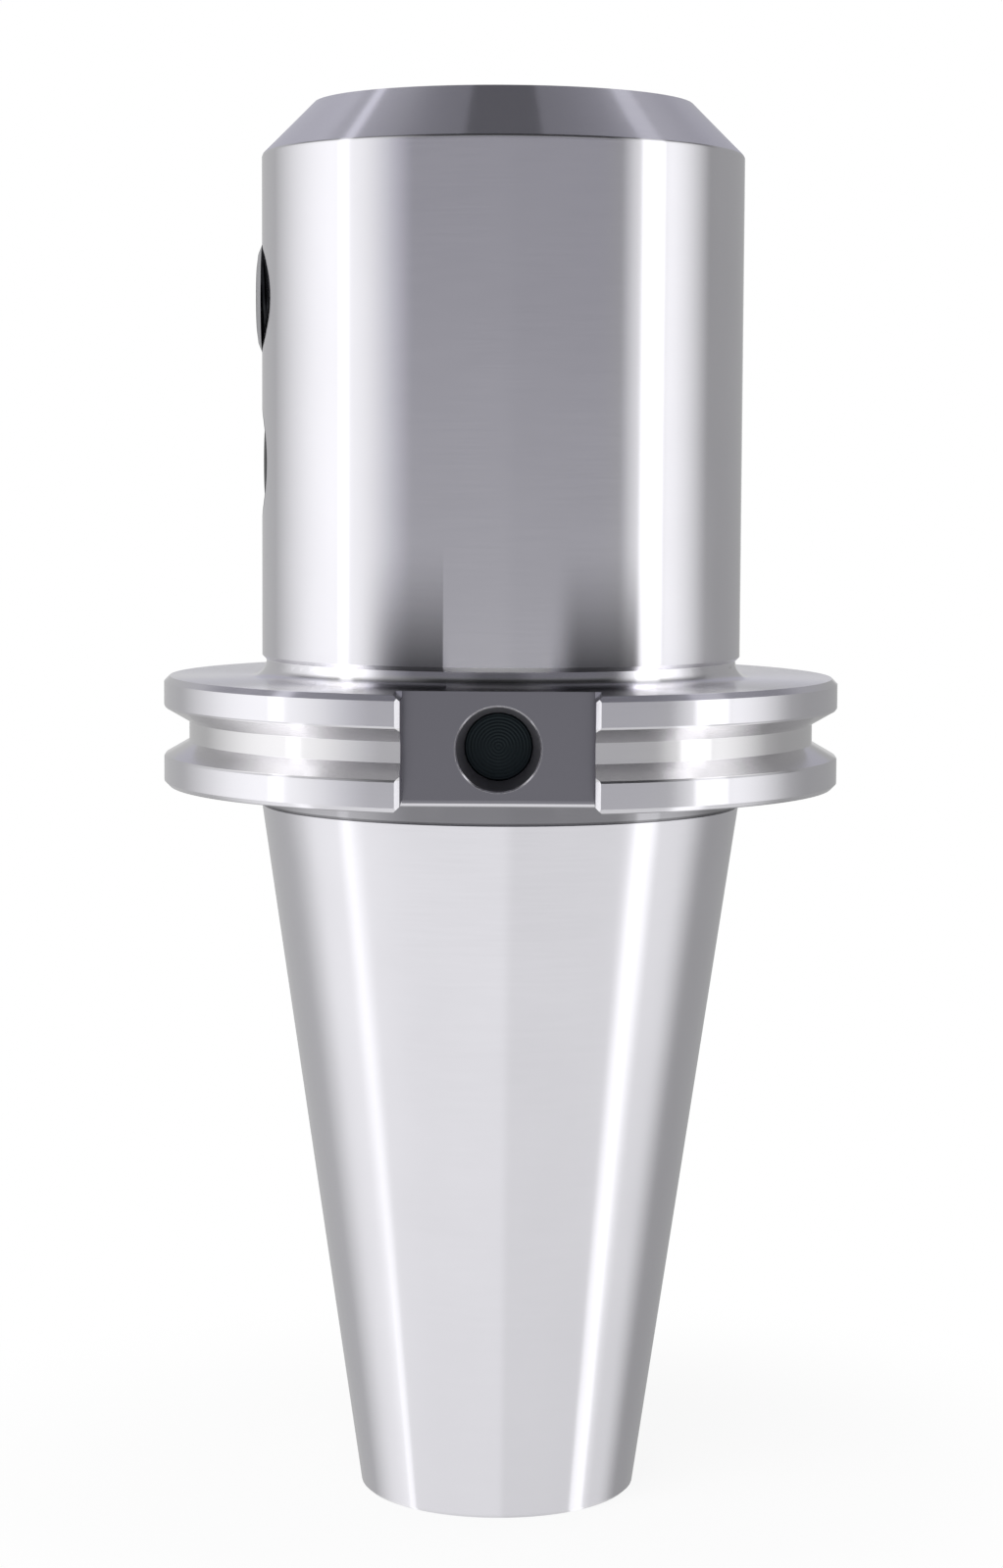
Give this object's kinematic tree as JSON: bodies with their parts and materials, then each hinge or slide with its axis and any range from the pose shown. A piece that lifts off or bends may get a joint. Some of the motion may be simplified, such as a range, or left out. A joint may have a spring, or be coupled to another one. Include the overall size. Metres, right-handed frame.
{
  "type": "end mill holder",
  "caption": "Steel end mill holder with a steep taper shank, a grooved drive flange and a straight nose with side clamp screws.",
  "frame": {"origin": "on the axis, in the gauge plane where the taper is 69.85 mm across", "axes": "+Z along the axis towards the nose; the drive slots face -Y and +Y; the clamp screws come out 2 degrees from -X, turned towards -Y"},
  "size_m": [0.0984, 0.0944, 0.2032],
  "materials": {
    "ground_steel": "ground and polished steel",
    "black_oxide_steel": "black oxide",
    "black_plastic": "matt"
  },
  "bodies": {
    "holder": {"holder_body": "ground_steel", "flange_hole_plug": "black_plastic"},
    "upper_screw": {"upper_clamp_screw": "black_oxide_steel"},
    "lower_screw": {"lower_clamp_screw": "black_oxide_steel"}
  },
  "joints": [
    {"name": "upper_screw_travel", "type": "slide", "parent": "holder", "child": "upper_screw", "axis": [0.9994, 0.0349, 0], "range_m": [-0.008, 0.0036]},
    {"name": "lower_screw_travel", "type": "slide", "parent": "holder", "child": "lower_screw", "axis": [0.9994, 0.0349, 0], "range_m": [-0.008, 0.0025]}
  ]
}
